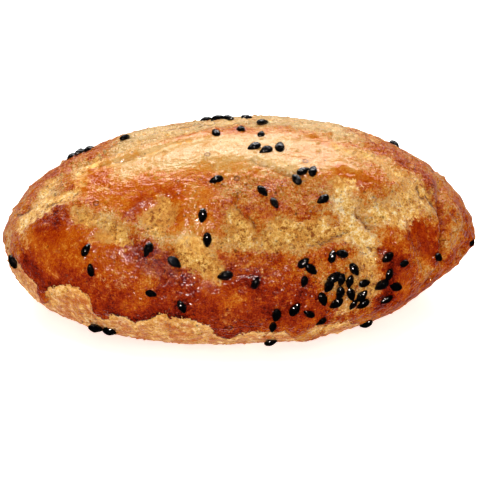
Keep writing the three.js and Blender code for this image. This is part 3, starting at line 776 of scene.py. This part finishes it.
def reliefTree():
    tree, asked = treeAsking("fineCrustRelief", fineRelief)
    fields = ("wash", "blister", "fibre", "pool", "halo", "smooth")
    read = {name: attribute(tree, name, "FLOAT") for name in fields}
    place = attribute(tree, "dough", "FLOAT_VECTOR")
    cover, frayed, _ = washCover(tree, place, read["wash"], read["pool"])
    bare = addNode(tree, "ShaderNodeMath", [1.0, cover], operation="SUBTRACT")
    fibres = waved(tree, place, 0.0, pattern["fibres"])
    fibres = addNode(tree, "ShaderNodeMath", [fibres, read["fibre"]], operation="MULTIPLY")
    wrinkles = waved(tree, place, 0.0, pattern["wrinkles"])
    calm = weighed(tree, 1.0, (read["smooth"], -wrinkleCalm))
    parts = {
        "Film thickness": cover,
        "Tear depth": addNode(tree, "ShaderNodeMapRange", [frayed, 0.45, 0.0, 0.0, -1.0], clamp=True),
        "Blister height": domes(tree, place, "blister", read["blister"], 1),
        "Pit depth": weighed(tree, 0.0, (cups(tree, place, "pit", 2), -1.0)),
        "Fibre height": addNode(tree, "ShaderNodeMath", [fibres, bare], operation="MULTIPLY"),
        "Wrinkle height": addNode(tree, "ShaderNodeMath", [wrinkles, calm], operation="MULTIPLY"),
        "Seed seat height": addNode(tree, "ShaderNodeMath", [read["halo"], 2.0], operation="POWER"),
    }
    height = weighed(tree, 0.0, *((part, asked[name]) for name, part in parts.items()))
    moved = pushedOut(tree, asked["Geometry"], height)
    realized = addNode(tree, "GeometryNodeRealizeInstances", [moved])
    finished = addNode(tree, "GeometryNodeSetMaterial", {"Geometry": realized, "Material": asked["Finish"]})
    addNode(tree, "NodeGroupOutput", [finished])
    return tree


def grownByNodes(piece, tree, values):  # runs the tree on the piece once, and keeps the plain mesh
    modifier = piece.modifiers.new(tree.name, "NODES")
    modifier.node_group = tree
    for socket in tree.interface.items_tree:
        if socket.in_out == "INPUT" and socket.name in values:
            modifier[socket.identifier] = values[socket.name]
    bpy.context.view_layer.update()
    depsgraph = bpy.context.evaluated_depsgraph_get()
    mesh = bpy.data.meshes.new_from_object(piece.evaluated_get(depsgraph), depsgraph=depsgraph,
                                           preserve_all_data_layers=True)
    piece.modifiers.clear()
    piece.data = mesh
    return piece


def restOnTable(mesh):  # flattens what would go below the table, with a rounded edge
    places = np.empty(len(mesh.vertices) * 3, np.float32)
    mesh.vertices.foreach_get("co", places)
    height = places[2::3]
    edge = loaf["rimRound"] * mm
    places[2::3] = (height + np.sqrt(height ** 2 + edge ** 2)) / 2
    mesh.vertices.foreach_set("co", places)
    mesh.update()


# Baked dough under a set egg wash. Bare dough is matt, pale, porous and mottled. The wash is a thin brown
# glaze: a clear gloss over a colour that goes from gold over orange to red-brown as it bakes.
crustFinish = {
    "bakeStops": [(0.0, "d6b278"), (0.12, "ca9c5c"), (0.24, "c4883c"), (0.36, "c2701a"), (0.46, "b65808"),
                  (0.56, "a84200"), (0.67, "982e00"), (0.78, "821b00"), (0.9, "640d00"), (1.0, "300500")],
    "crumbStops": [(0.0, "8c4408"), (0.15, "c07a28"), (0.35, "dca046"), (0.5, "e8b056"), (0.65, "f2be62"),
                   (0.85, "fcd284"), (1.0, "ffe6b4")],
    # waves of the wash's tone, of the crumb's tone, and of the surface in mm
    "bakeWaves": [(6.0, 0.09, 11), (2.2, 0.13, 12), (0.8, 0.15, 14), (0.3, 0.26, 18)],
    "crumbWaves": [(4.0, 0.26, 13), (1.5, 0.4, 15), (0.7, 0.46, 16), (0.3, 0.4, 19)],
    "skinWaves": [(1.8, 0.3, 22), (0.8, 0.1, 23)],
    # what deepens the wash's tone, and how much; blisters and bubbles pale it, as a painted highlight on
    # their tops
    "pooled": 0.14, "thin": -0.3, "halo": 0.12, "blisters": -0.08, "bubbles": -0.16, "skinLines": 0.03,
    "thinEdge": (1.15, 0.45),  # where the wash thins out, as a share of it
    "fibreTone": 0.16,
    "toneCalm": 0.6, "bumpCalm": 0.85,  # how much a smooth place loses of them
    # the foot, which baked on the tray, and dough that a little of the wash soaked into
    "footTint": "c06218", "footShare": 0.6, "footWaves": [(2.2, 0.7, 51), (0.9, 0.5, 52)],
    "stain": "cc8026", "stainRange": (-0.1, 0.75, 0.0, 0.8),
    "stainWaves": [(3.0, 0.4, 17), (1.1, 0.35, 20), (0.5, 0.25, 24, alongLoaf)],
    # pore colours the painted shade in pores; speckAndPitShade colours bran and burnt specks, and the painted
    # shade in pits
    "pore": "90480f", "poreShade": 0.6, "speckAndPitShade": "3a1408", "speckShade": 0.75, "pitShade": 0.5,
    # crackShadeTint is multiplied in as painted shade in cracks and hollows, and also darkens the rims of
    # burst bubbles
    "crackShadeTint": "825030", "hollowShade": 0.4, "ringShade": 0.7,
    # heights in mm, as the light shows them
    "filmStep": 0.22, "blisterRise": 0.45, "bubbleRise": 0.12, "creaseDepth": 0.24, "crackDepth": 0.4,
    "ringRise": 0.2, "pitDepth": 0.4, "poreDepth": 0.25, "lineDepth": 0.06, "fibreRise": 0.1,
    "bareGrain": 0.1, "washGrain": 0.015,
    "haloGloss": 0.7, "bareRoughness": 0.75, "washRoughness": 0.2, "wetRoughness": 0.13,
    "specular": 0.2, "coatRoughness": 0.07, "coatIOR": 1.45,
    "sheen": 0.3, "sheenRoughness": 0.17, "sheenTint": "ffe4ea",  # the glaze's glare along the surface
    "subsurface": 0.06, "subsurfaceDepth": 0.8,  # mm
    "subsurfaceRadius": (1.0, 0.4, 0.15),  # as shares of that depth, for red, green and blue
}


def emptyMaterial(name):
    material = bpy.data.materials.new(name)
    material.use_nodes = True
    material.node_tree.nodes.clear()
    return material, material.node_tree


def colourRamp(tree, tone, stops):
    node = addNode(tree, "ShaderNodeValToRGB", [tone])
    for n, (position, colour) in enumerate(stops):
        elements = node.color_ramp.elements
        element = elements[n] if n < len(elements) else elements.new(position)
        element.position = position
        element.color = linearColour(colour)
    return node


def bakedCrust():
    material, tree = emptyMaterial("eggWashedCrust")
    finish = crustFinish
    fields = ("wash", "bake", "wet", "blister", "fibre", "halo", "pool", "foot", "pale", "smooth", "ring",
              "hollow", "crackAway", "crackSide", "crackDepthAndShade")
    read = {name: addNode(tree, "ShaderNodeAttribute", attribute_name=name).outputs["Fac"] for name in fields}
    place = addNode(tree, "ShaderNodeAttribute", attribute_name="dough").outputs["Vector"]
    cover, frayed, soft = washCover(tree, place, read["wash"], read["pool"])
    blisters = domes(tree, place, "blister", read["blister"], 1)
    bubbles = domes(tree, place, "bubble", read["blister"], 3)
    bubbles = addNode(tree, "ShaderNodeMath", [bubbles, read["blister"]], operation="MULTIPLY")
    ring = ringLine(tree, read["ring"])
    pits = cups(tree, place, "pit", 2)
    pores = cups(tree, place, "pore", 5)
    crack = crackLine(tree, place, read["crackAway"], read["crackSide"])
    crack = addNode(tree, "ShaderNodeMath", [crack, read["crackDepthAndShade"]], operation="MULTIPLY")
    skinLines = waved(tree, place, 0.0, pattern["skinLines"])
    fibres = waved(tree, place, 0.0, pattern["fibres"])
    fibres = addNode(tree, "ShaderNodeMath", [fibres, read["fibre"]], operation="MULTIPLY")
    calm = weighed(tree, 1.0, (read["smooth"], -finish["toneCalm"]))

    # the wash: golden where it thins out, pooled and dark along its lower hem and round the seeds
    inside = addNode(tree, "ShaderNodeMapRange", [frayed, *finish["thinEdge"]],
                     interpolation_type="SMOOTHSTEP")
    thin = addNode(tree, "ShaderNodeMath", [inside, soft], operation="MULTIPLY")
    pooled = addNode(tree, "ShaderNodeMath", [inside, read["pool"]], operation="MULTIPLY")
    tone = waved(tree, place, 0.0, *finish["bakeWaves"])
    # blisters and bubbles lower the tone: a painted highlight on their domes
    tone = weighed(tree, read["bake"], (tone, calm), (pooled, finish["pooled"]), (thin, finish["thin"]),
                   (read["halo"], finish["halo"]), (blisters, finish["blisters"]),
                   (bubbles, finish["bubbles"]), (skinLines, finish["skinLines"]))
    brown = colourRamp(tree, tone, finish["bakeStops"])

    # the bare dough: mottled, streaked where it tore, stained where a little wash soaked in, with painted
    # shade in its pores
    mottle = waved(tree, place, 0.0, *finish["crumbWaves"])
    mottle = weighed(tree, read["pale"], (mottle, calm), (fibres, finish["fibreTone"]))
    colour = colourRamp(tree, mottle, finish["crumbStops"])
    stained = waved(tree, place, frayed, *finish["stainWaves"])
    stained = addNode(tree, "ShaderNodeMapRange", [stained, *finish["stainRange"]],
                      interpolation_type="SMOOTHSTEP")
    aboveFoot = addNode(tree, "ShaderNodeMath", [1.0, read["foot"]], operation="SUBTRACT")
    stained = addNode(tree, "ShaderNodeMath", [stained, aboveFoot], operation="MULTIPLY")
    footed = waved(tree, place, finish["footShare"], *finish["footWaves"])
    footed = addNode(tree, "ShaderNodeMath", [footed, read["foot"]], operation="MULTIPLY")
    porous = addNode(tree, "ShaderNodeMath", [pores, finish["poreShade"]], operation="MULTIPLY")

    # specks of bran and burnt dust, and painted shade in pits, cracks and hollows, in both
    away, chosen = dotted(tree, place, pattern["speckSpacing"], pattern["speckShare"], 4)
    specks = addNode(tree, "ShaderNodeMapRange", [away, *pattern["speckEdge"], 0.0, finish["speckShade"]])
    specks = addNode(tree, "ShaderNodeMath", [specks, chosen], operation="MULTIPLY")
    dark = addNode(tree, "ShaderNodeMath", [pits, finish["pitShade"]], operation="MULTIPLY")
    dark = addNode(tree, "ShaderNodeMath", [dark, specks], operation="MAXIMUM")
    shade = weighed(tree, crack, (read["hollow"], finish["hollowShade"]), (ring, finish["ringShade"]))
    for share, layer, blend in ((footed, finish["footTint"], "MIX"), (stained, finish["stain"], "MIX"),
                                (porous, finish["pore"], "MIX"), (cover, brown, "MIX"),
                                (dark, finish["speckAndPitShade"], "MIX"), (shade, finish["crackShadeTint"], "MULTIPLY")):
        layer = linearColour(layer) if isinstance(layer, str) else layer
        colour = addNode(tree, "ShaderNodeMix", {0: share, 6: colour, 7: layer}, data_type="RGBA",
                         blend_type=blend).outputs[2]

    gloss = addNode(tree, "ShaderNodeMath", [read["halo"], finish["haloGloss"]], operation="MULTIPLY")
    gloss = addNode(tree, "ShaderNodeMath", [gloss, read["wet"]], operation="MAXIMUM")
    shine = addNode(tree, "ShaderNodeMix", {0: gloss, 2: finish["washRoughness"], 3: finish["wetRoughness"]})
    roughness = addNode(tree, "ShaderNodeMix", {0: cover, 2: finish["bareRoughness"], 3: shine})
    coat = addNode(tree, "ShaderNodeMath", [gloss, cover], operation="MULTIPLY")

    # the film is smooth and creased, and the dough below it is grained and porous
    creases = waved(tree, place, 0.0, pattern["creases"])
    creases = addNode(tree, "ShaderNodeMath", [creases], operation="ABSOLUTE")
    creases = addNode(tree, "ShaderNodeMath", [creases, cover], operation="MULTIPLY")
    filmHeight = waved(tree, place, 0.0, *finish["skinWaves"])
    filmHeight = weighed(tree, filmHeight, (cover, finish["filmStep"]), (blisters, finish["blisterRise"]),
                         (bubbles, finish["bubbleRise"]), (creases, -finish["creaseDepth"]),
                         (crack, -finish["crackDepth"]), (ring, finish["ringRise"]))
    grain = addNode(tree, "ShaderNodeMix", {0: cover, 2: finish["bareGrain"], 3: finish["washGrain"]})
    height = weighed(tree, filmHeight, (pits, -finish["pitDepth"]), (pores, -finish["poreDepth"]),
                     (skinLines, finish["lineDepth"]), (fibres, finish["fibreRise"]),
                     (waved(tree, place, 0.0, pattern["grain"]), grain))
    strength = weighed(tree, 1.0, (read["smooth"], -finish["bumpCalm"]))
    bump, filmBump = [
        addNode(tree, "ShaderNodeBump", {"Height": shape, "Strength": strength, "Distance": mm})
        for shape in (height, filmHeight)
    ]

    shader = addNode(tree, "ShaderNodeBsdfPrincipled", {
        "Base Color": colour, "Roughness": roughness, "Normal": bump, "Coat Normal": filmBump,
        "Specular IOR Level": finish["specular"],
        "Coat Weight": coat, "Coat Roughness": finish["coatRoughness"], "Coat IOR": finish["coatIOR"],
        "Sheen Weight": finish["sheen"], "Sheen Roughness": finish["sheenRoughness"],
        "Sheen Tint": linearColour(finish["sheenTint"]),
        "Subsurface Weight": finish["subsurface"], "Subsurface Scale": finish["subsurfaceDepth"] * mm,
        "Subsurface Radius": finish["subsurfaceRadius"],
    })
    addNode(tree, "ShaderNodeOutputMaterial", {"Surface": shader})
    return material


# the seeds: black nigella seeds, mm

seed = {
    "Seed length": 3.15, "Seed width": 2.0, "Seed thickness": 1.55,
    "Taper": 0.36,  # how much narrower the pointed end is
    "Ridge height": 0.08,  # as a share of the radius
    "Wrinkle": 0.05,  # mm
}
seedBall = {
    "segments": 18, "rings": 12,
    "ridges": 3.0, "ridgeTurn": 0.6,  # radians
    "wrinkles": (0.9, 1, 31),
}
seedLie = {
    "sunk": 0.25, "mostTip": 0.25, "mostRoll": 0.4, "smallest": 0.86, "largest": 1.12,
    "leastFacing": 0.4,  # of a place that the camera hardly sees
}
seedFinish = {
    "colour": "020203", "paler": "080706", "palerShare": 0.25, "palerWaves": (0.7, 0.3, 32),
    "roughness": 0.14, "specular": 0.35,
    "grain": 0.4, "bump": 0.25,  # mm between the net's meshes, and how deep it shows
}


def turnOnCrust(points, out):  # the turn on the crust that looks like the one that the camera sees
    tilt = math.radians(view["elevation"])
    facing = max(out.dot(Vector((0, -math.cos(tilt), math.sin(tilt)))), seedLie["leastFacing"])
    return math.atan2(math.sin(math.radians(points)) / facing, math.cos(math.radians(points)))


def seedSpots():  # a point where each seed lies, with the way it lies there
    points, turns, sizes = [], [], []
    for index, (x, around, seen) in enumerate(seedPlaces()):
        out = Vector(outwards(doughPlace(x, around)))
        size = seedLie["smallest"] + (seedLie["largest"] - seedLie["smallest"]) * chance(index, 1)
        lift = (0.5 - seedLie["sunk"]) * seed["Seed thickness"] * size
        lying = Vector((0, 0, 1)).rotation_difference(out)
        turned = Quaternion((0, 0, 1), turnOnCrust(seen, out))
        tipped = Quaternion((0, 1, 0), seedLie["mostTip"] * wander(index, 2))
        rolled = Quaternion((1, 0, 0), seedLie["mostRoll"] * wander(index, 3))
        points.append((Vector(crustPlace(x, around)) + out * lift) * mm)
        turns.append((lying @ turned @ tipped @ rolled).to_euler())
        sizes.append(size)
    mesh = bpy.data.meshes.new("seedSpots")
    mesh.from_pydata(points, [], [])
    turned = mesh.attributes.new("turn", "FLOAT_VECTOR", "POINT")
    turned.data.foreach_set("vector", np.array(turns, np.float32).ravel())
    sized = mesh.attributes.new("size", "FLOAT", "POINT")
    sized.data.foreach_set("value", np.array(sizes, np.float32))
    return mesh


def seedTree():
    tree, asked = treeAsking("scatteredSeeds", seed)

    # one seed: a ball drawn out along X, with a narrow end at +X and three blunt ridges along it
    ball = addNode(tree, "GeometryNodeMeshUVSphere", {
        "Segments": seedBall["segments"], "Rings": seedBall["rings"], "Radius": 1.0,
    })
    ballPlace = addNode(tree, "ShaderNodeSeparateXYZ", [addNode(tree, "GeometryNodeInputPosition")])
    wide, thick, ahead = ballPlace.outputs
    pointed = addNode(tree, "ShaderNodeMath", [ahead, 0.0], operation="MAXIMUM")
    taken = addNode(tree, "ShaderNodeMath", [pointed, asked["Taper"]], operation="MULTIPLY")
    narrow = addNode(tree, "ShaderNodeMath", [1.0, taken], operation="SUBTRACT")
    turn = addNode(tree, "ShaderNodeMath", [thick, wide], operation="ARCTAN2")
    turn = weighed(tree, seedBall["ridgeTurn"], (turn, seedBall["ridges"]))
    ridge = addNode(tree, "ShaderNodeMath", [turn], operation="COSINE")
    ridged = weighed(tree, 1.0, (ridge, asked["Ridge height"]))
    girth = addNode(tree, "ShaderNodeMath", [narrow, ridged], operation="MULTIPLY")
    shape = addNode(tree, "ShaderNodeCombineXYZ")
    sizes = {"Seed length": ahead, "Seed width": wide, "Seed thickness": thick}
    for n, (name, share) in enumerate(sizes.items()):
        half = addNode(tree, "ShaderNodeMath", [asked[name], mm / 2], operation="MULTIPLY")
        half = addNode(tree, "ShaderNodeMath", [half, share], operation="MULTIPLY")
        if n > 0:
            half = addNode(tree, "ShaderNodeMath", [half, girth], operation="MULTIPLY")
        tree.links.new(half.outputs[0], shape.inputs[n])
    oneSeed = addNode(tree, "GeometryNodeSetPosition", {"Geometry": ball, "Position": shape})

    lie = addNode(tree, "FunctionNodeEulerToRotation", [attribute(tree, "turn", "FLOAT_VECTOR")])
    laid = addNode(tree, "GeometryNodeInstanceOnPoints", {
        "Points": asked["Geometry"], "Instance": oneSeed, "Rotation": lie,
        "Scale": attribute(tree, "size", "FLOAT"),
    })
    realized = addNode(tree, "GeometryNodeRealizeInstances", [laid])
    place = addNode(tree, "GeometryNodeInputPosition")
    inMm = addNode(tree, "ShaderNodeVectorMath", {0: place, "Scale": 1 / mm}, operation="SCALE")
    wrinkle = waved(tree, inMm, 0.0, seedBall["wrinkles"])
    wrinkle = addNode(tree, "ShaderNodeMath", [wrinkle, asked["Wrinkle"]], operation="MULTIPLY")
    wrinkled = pushedOut(tree, realized, wrinkle)
    smooth = addNode(tree, "GeometryNodeSetShadeSmooth", [wrinkled])
    finished = addNode(tree, "GeometryNodeSetMaterial", {"Geometry": smooth, "Material": asked["Finish"]})
    addNode(tree, "NodeGroupOutput", [finished])
    return tree


def blackSeedCoat():  # a finely netted black seed coat with a waxy shine: nearly black, with sharp glints
    material, tree = emptyMaterial("nigellaSeedCoat")
    place = addNode(tree, "ShaderNodeTexCoord").outputs["Object"]
    inMm = addNode(tree, "ShaderNodeVectorMath", {0: place, "Scale": 1 / mm}, operation="SCALE")
    net, _ = dotted(tree, inMm, seedFinish["grain"], 1.0, 6)
    mottle = waved(tree, inMm, seedFinish["palerShare"], seedFinish["palerWaves"])
    dull, paler = linearColour(seedFinish["colour"]), linearColour(seedFinish["paler"])
    colour = addNode(tree, "ShaderNodeMix", {0: mottle, 6: dull, 7: paler}, data_type="RGBA").outputs[2]
    bump = {"Height": net, "Strength": 1.0, "Distance": seedFinish["bump"] * mm}
    bump = addNode(tree, "ShaderNodeBump", bump)
    shader = addNode(tree, "ShaderNodeBsdfPrincipled", {
        "Base Color": colour, "Roughness": seedFinish["roughness"], "Normal": bump,
        "Specular IOR Level": seedFinish["specular"],
    })
    addNode(tree, "ShaderNodeOutputMaterial", {"Surface": shader})
    return material


# the studio: metres and watts

studio = {
    "sky": (1.0, 0.28),  # white, and its strength
    "floor": ("f9f9f9", 3.0, 0.65, 0.9),  # colour, half side, how much it glows, and roughness
    "target": (0, 0, 0.02),
}
# place, size along and across, power, colour, and whether it lights the colour or the gloss
lights = {
    "behind": ((-0.08, 0.48, 0.42), (0.55, 0.3), 4.2, "ffffff", "colour"),
    "window": ((0.04, 0.5, 0.46), (0.72, 0.32), 6.3, "ffffff", "gloss"),
    "above": ((-0.05, -0.08, 0.62), (0.2, 0.2), 1.7, "ffffff", "colour"),
    "front": ((0.05, -0.9, 0.75), (1.4, 1.2), 5.3, "ffffff", "colour"),
    "glint": ((-0.14, -0.42, 0.52), (0.08, 0.08), 6.5, "ffeee4", "gloss"),
    "left": ((-0.6, 0.2, 0.12), (0.5, 0.3), 0.5, "fff0f4", "colour"),
    "right": ((0.6, 0.05, 0.1), (0.5, 0.3), 0.7, "fff0f4", "colour"),
}


def lookAt(thing, place, target):
    thing.location = place
    thing.rotation_euler = (Vector(target) - Vector(place)).to_track_quat("-Z", "Y").to_euler()


def addToScene(thing):
    bpy.context.scene.collection.objects.link(thing)
    return thing


def makeCamera():
    camera = addToScene(bpy.data.objects.new("camera", bpy.data.cameras.new("camera")))
    tilt = math.radians(view["elevation"])
    focus = Vector(view["focus"])
    back = Vector((0, -math.cos(tilt), math.sin(tilt)))
    lookAt(camera, focus + back * view["distance"], focus)
    perRadian = view["pixelsPerMm"] * view["distance"] / mm
    camera.data.sensor_width = view["sensor"]
    camera.data.lens = view["sensor"] * perRadian / view["imageWidth"]
    bpy.context.scene.camera = camera


def makeStudio():
    colour, side, glow, roughness = studio["floor"]
    mesh = bpy.data.meshes.new("floor")
    corners = [(-side, -side, 0), (side, -side, 0), (side, side, 0), (-side, side, 0)]
    mesh.from_pydata(corners, [], [(0, 1, 2, 3)])
    floor = addToScene(bpy.data.objects.new("floor", mesh))
    material, tree = emptyMaterial("plainFloor")
    shader = addNode(tree, "ShaderNodeBsdfPrincipled", {
        "Base Color": linearColour(colour), "Roughness": roughness,
        "Emission Color": linearColour(colour), "Emission Strength": glow,
    })
    addNode(tree, "ShaderNodeOutputMaterial", {"Surface": shader})
    mesh.materials.append(material)
    floor.visible_glossy = False
    for name, (place, size, power, tint, shownIn) in lights.items():
        light = bpy.data.lights.new(name, "AREA")
        light.shape = "RECTANGLE"
        light.size, light.size_y = size
        light.energy = power
        light.color = linearColour(tint)[:3]
        lamp = addToScene(bpy.data.objects.new(name, light))
        lamp.visible_glossy = shownIn == "gloss"
        lamp.visible_diffuse = shownIn == "colour"
        lookAt(lamp, place, studio["target"])
    world = bpy.data.worlds.new("studio")
    bpy.context.scene.world = world
    world.use_nodes = True
    white, strength = studio["sky"]
    background = world.node_tree.nodes["Background"]
    background.inputs["Color"].default_value = (white, white, white, 1)
    background.inputs["Strength"].default_value = strength
    world.cycles_visibility.glossy = False
    bpy.context.scene.view_settings.view_transform = "Standard"


def makeCrust():
    piece = addToScene(bpy.data.objects.new("crust", crustMesh()))
    grownByNodes(piece, reliefTree(), {**fineRelief, "Finish": bakedCrust()})
    restOnTable(piece.data)
    return piece


def makeSeeds():
    piece = addToScene(bpy.data.objects.new("seeds", seedSpots()))
    return grownByNodes(piece, seedTree(), {**seed, "Finish": blackSeedCoat()})


makeCamera()
makeStudio()
print("studio ready")
crustPiece = makeCrust()
print("crust ready:", len(crustPiece.data.polygons), "faces")
seedsPiece = makeSeeds()
print("seeds ready:", len(seedsPiece.data.polygons), "faces")

for piece, slotName in ((crustPiece, "crust"), (seedsPiece, "seeds")):
    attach(piece, "root")
    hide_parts("bread_roll")

bpy.context.view_layer.update()
